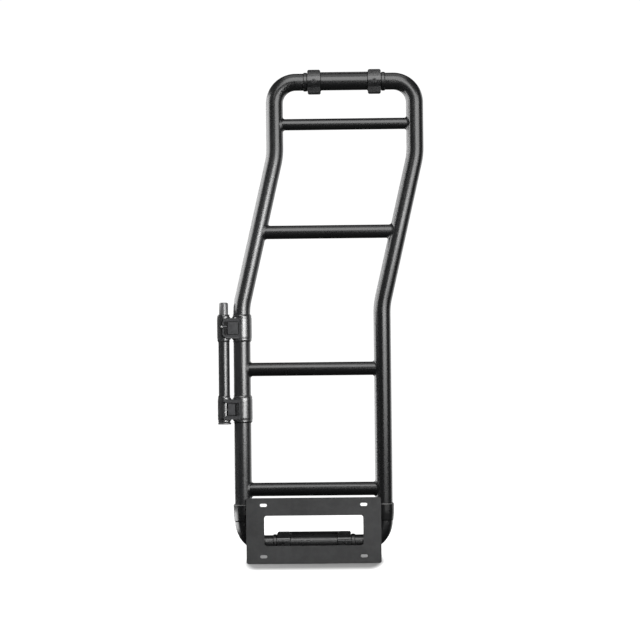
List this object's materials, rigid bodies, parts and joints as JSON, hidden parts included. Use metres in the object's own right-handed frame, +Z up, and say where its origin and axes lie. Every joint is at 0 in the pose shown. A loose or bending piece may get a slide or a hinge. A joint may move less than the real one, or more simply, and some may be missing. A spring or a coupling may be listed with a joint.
{
  "type": "van rear door ladder",
  "caption": "Tubular ladder for a van's rear door: stepped rails, rungs, bracket eyes on the top and bottom bars, a windowed carrier plate and a clamped side tube.",
  "frame": {"origin": "centre of the rear face of the lower door plate, level with the middle of the lower bar", "axes": "+X to the right as seen by someone climbing, +Y towards the door, +Z up along the rails"},
  "size_m": [0.4663, 0.099, 1.0995],
  "materials": {
    "tube_coat": "satin black powder coat on steel tube",
    "cast_black": "finely textured black coat on cast fittings",
    "plate_coat": "matt dark grey powder coat on sheet steel",
    "black_plastic": "moulded",
    "bright_steel": "turned"
  },
  "bodies": {
    "root": {"left_rail": "tube_coat", "right_rail": "tube_coat", "top_rung": "tube_coat", "second_rung": "tube_coat", "third_rung": "tube_coat", "bottom_rung": "tube_coat", "left_lower_tube": "tube_coat", "right_lower_tube": "tube_coat", "top_joining_tube": "tube_coat", "lower_joining_tube": "tube_coat", "top_left_ring": "cast_black", "top_right_ring": "cast_black", "lower_left_ring": "cast_black", "lower_right_ring": "cast_black", "top_left_eye": "cast_black", "top_right_eye": "cast_black", "lower_left_eye": "cast_black", "lower_right_eye": "cast_black", "top_back_plate": "tube_coat", "top_arms": "tube_coat", "top_door_plate": "tube_coat", "lower_back_plate": "tube_coat", "lower_arms": "tube_coat", "lower_door_plate": "tube_coat", "carrier_plate": "plate_coat", "left_plate_fin": "tube_coat", "right_plate_fin": "tube_coat", "side_tube": "tube_coat", "side_tube_stub": "tube_coat", "side_tube_foot": "black_plastic", "upper_clamp_front": "cast_black", "upper_clamp_back": "cast_black", "lower_clamp_front": "cast_black", "lower_clamp_back": "cast_black", "upper_clamp_panel": "cast_black", "lower_clamp_insert": "cast_black", "clamp_pin": "bright_steel"}
  },
  "joints": []
}
